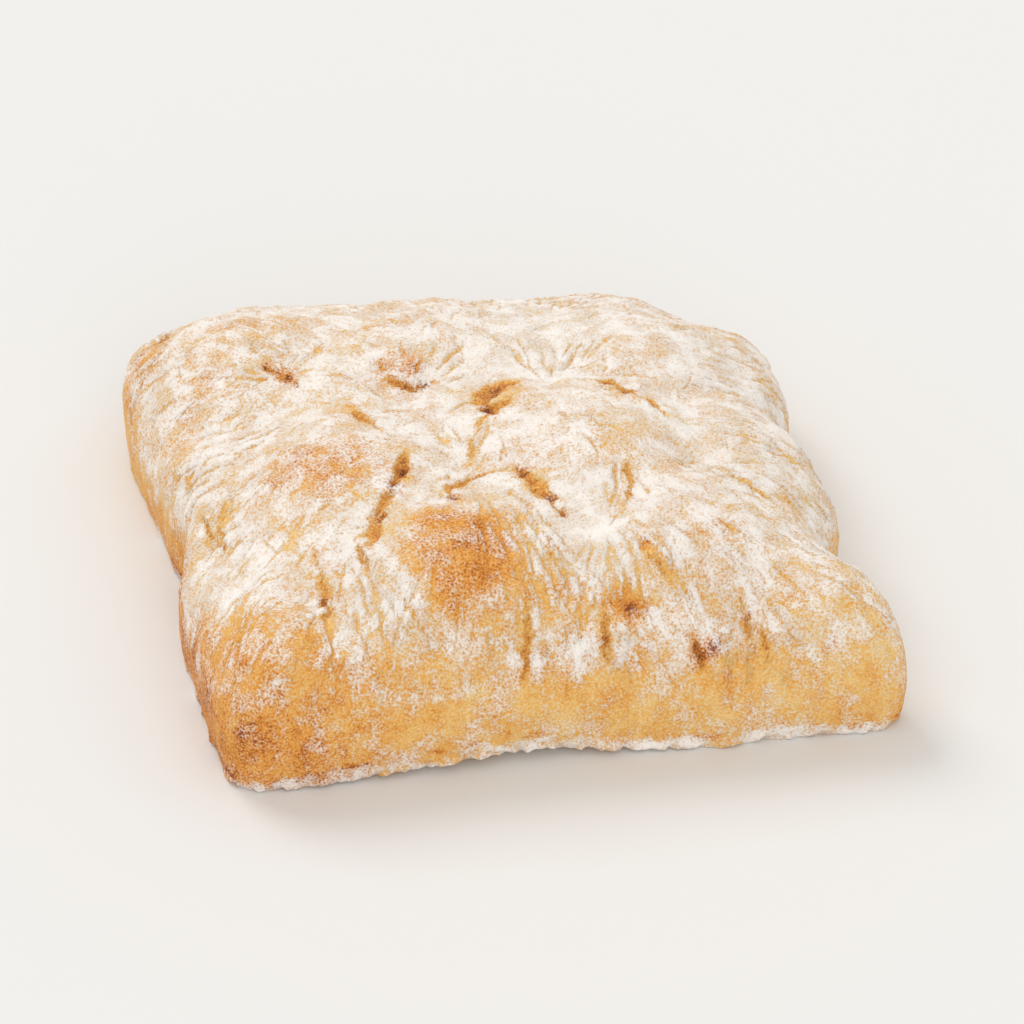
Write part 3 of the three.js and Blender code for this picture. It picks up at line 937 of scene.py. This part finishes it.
# %% [markdown]
# The thin golden lines in the flour are of three kinds: the creases of the mesh, the fine pleats of
# the shoulder, and hair cracks where the flour dried. In the creases and pleats the line is bare
# crust where the flour is thin, and it is also painted shade in the groove. A pleat or a crack is
# where a noise passes its middle value, 0.5, which draws a long wandering line. A third noise lets
# the lines show in some places only.

# %% Creases, fine pleats and hair cracks
creases = add_node(tree, KEPT, output="Fac", attribute_name="creases")
creases = add_node(tree, MATH, {0: speck, 1: 0.3, 2: creases}, operation="MULTIPLY_ADD")
creases = add_node(tree, RANGE, {"Value": creases, "From Min": 0.93, "From Max": 1.12})

pleat_place = add_node(tree, KEPT, output="Vector", attribute_name="pleat_place")
pleated = add_node(tree, KEPT, output="Fac", attribute_name="pleated")
folds = add_node(tree, NOISE, {"Vector": pleat_place, "Scale": 1 / PLEAT, "Detail": 3})
pleats = add_node(tree, RAMP, {"Fac": folds}, stops=[
    (0.43, "#000000"), (0.5, "#FFFFFF"), (0.57, "#000000"),
])
pleats = add_node(tree, MATH, {0: pleats, 1: pleated}, operation="MULTIPLY")
folds = add_node(tree, RANGE, {
    "Value": folds, "From Min": 0.4, "From Max": 0.6, "To Min": -0.5, "To Max": 0.5,
})
folds = add_node(tree, MATH, {0: folds, 1: pleated}, operation="MULTIPLY")
cracks = add_node(tree, NOISE, {"Vector": place, "Scale": 1 / CRACK, "Detail": 3})
cracks = add_node(tree, RAMP, {"Fac": cracks}, stops=[
    (0.475, "#000000"), (0.5, "#BBBBBB"), (0.525, "#000000"),
])
lines = add_node(tree, MATH, {0: pleats, 1: cracks}, operation="MAXIMUM")
where = add_node(tree, NOISE, {"Vector": place, "Scale": 1 / CLUMP, "Detail": 2})
where = add_node(tree, RANGE, {"Value": where, "From Min": 0.45, "From Max": 0.65})
lines = add_node(tree, MATH, {0: lines, 1: where}, operation="MULTIPLY")

# %% [markdown]
# The coat of flour is the coat kept in the mesh, plus noise of four sizes and the folds of the
# shoulder, less what the lines and tears lose. Where the sum is high there is flour, where it is
# low there is crust, and in between thin flour lets the crust shine through. A sharp switch between
# the two would look like paint.

# %% The coat of flour
flour = add_node(tree, KEPT, output="Fac", attribute_name="flour")
clump = add_node(tree, NOISE, {"Vector": place, "Scale": 1 / CLUMP, "Detail": 4})
flake = add_node(tree, NOISE, {"Vector": place, "Scale": 1 / FLAKE, "Detail": 6, "Roughness": 0.7})
flake = add_node(tree, RANGE, {"Value": flake, "From Min": 0.46, "From Max": 0.54})
# creases and lines take flour away, so golden crust shows in them: partly painted shade of grooves
COAT_PARTS = [
    (clump, 1.0), (speck, 0.8), (fine, -2.3), (flake, 0.38), (creases, -0.8), (lines, -0.4),
    (folds, 0.26), (thinned, -0.45), (torn, -0.6),
]
coated = flour
for part, share in COAT_PARTS:
    coated = add_node(tree, MATH, {0: part, 1: share, 2: coated}, operation="MULTIPLY_ADD")
dusted = add_node(tree, RANGE, {
    "Value": coated, "From Min": -0.1, "From Max": 1.02, "To Min": 0.0, "To Max": 0.94,
}, interpolation_type="SMOOTHSTEP")
tint = add_node(tree, NOISE, {"Vector": place, "Scale": 1 / FLAKE, "Detail": 2})
powder = add_node(tree, RAMP, {"Fac": tint}, stops=[(0.35, "#EAE2DB"), (0.65, "#F8F3EE")])
colour = add_node(tree, MIX, {0: dusted, 6: dough, 7: powder}, output=2, data_type="RGBA")
tree.links.new(colour, shader.inputs["Base Color"])

# %% [markdown]
# Everything down to about a millimetre is in the mesh. The grain of the crust and the thickness of
# the flour are finer, so they are bump: flour stands proud of the crust, in clumps, and the lines
# and tears lie low.

# %% Grain of the surface, too fine for the mesh
GRAIN_HEIGHT = 0.0003
GRAIN_STRENGTH = 0.6
GRAIN_PARTS = [(fine, -1.5), (speck, 2.2), (lines, -1.2), (creases, -1.5), (torn, -1.0)]
grain = dusted
for part, share in GRAIN_PARTS:
    grain = add_node(tree, MATH, {0: part, 1: share, 2: grain}, operation="MULTIPLY_ADD")
bump = add_node(tree, "ShaderNodeBump", {
    "Strength": GRAIN_STRENGTH, "Distance": GRAIN_HEIGHT, "Height": grain,
})
tree.links.new(bump, shader.inputs["Normal"])
loaf_mesh.materials.append(crust)
print("crust with", len(tree.nodes), "nodes")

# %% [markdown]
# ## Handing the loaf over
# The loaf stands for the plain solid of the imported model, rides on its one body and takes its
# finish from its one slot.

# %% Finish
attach(loaf, "root")
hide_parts("focaccia")
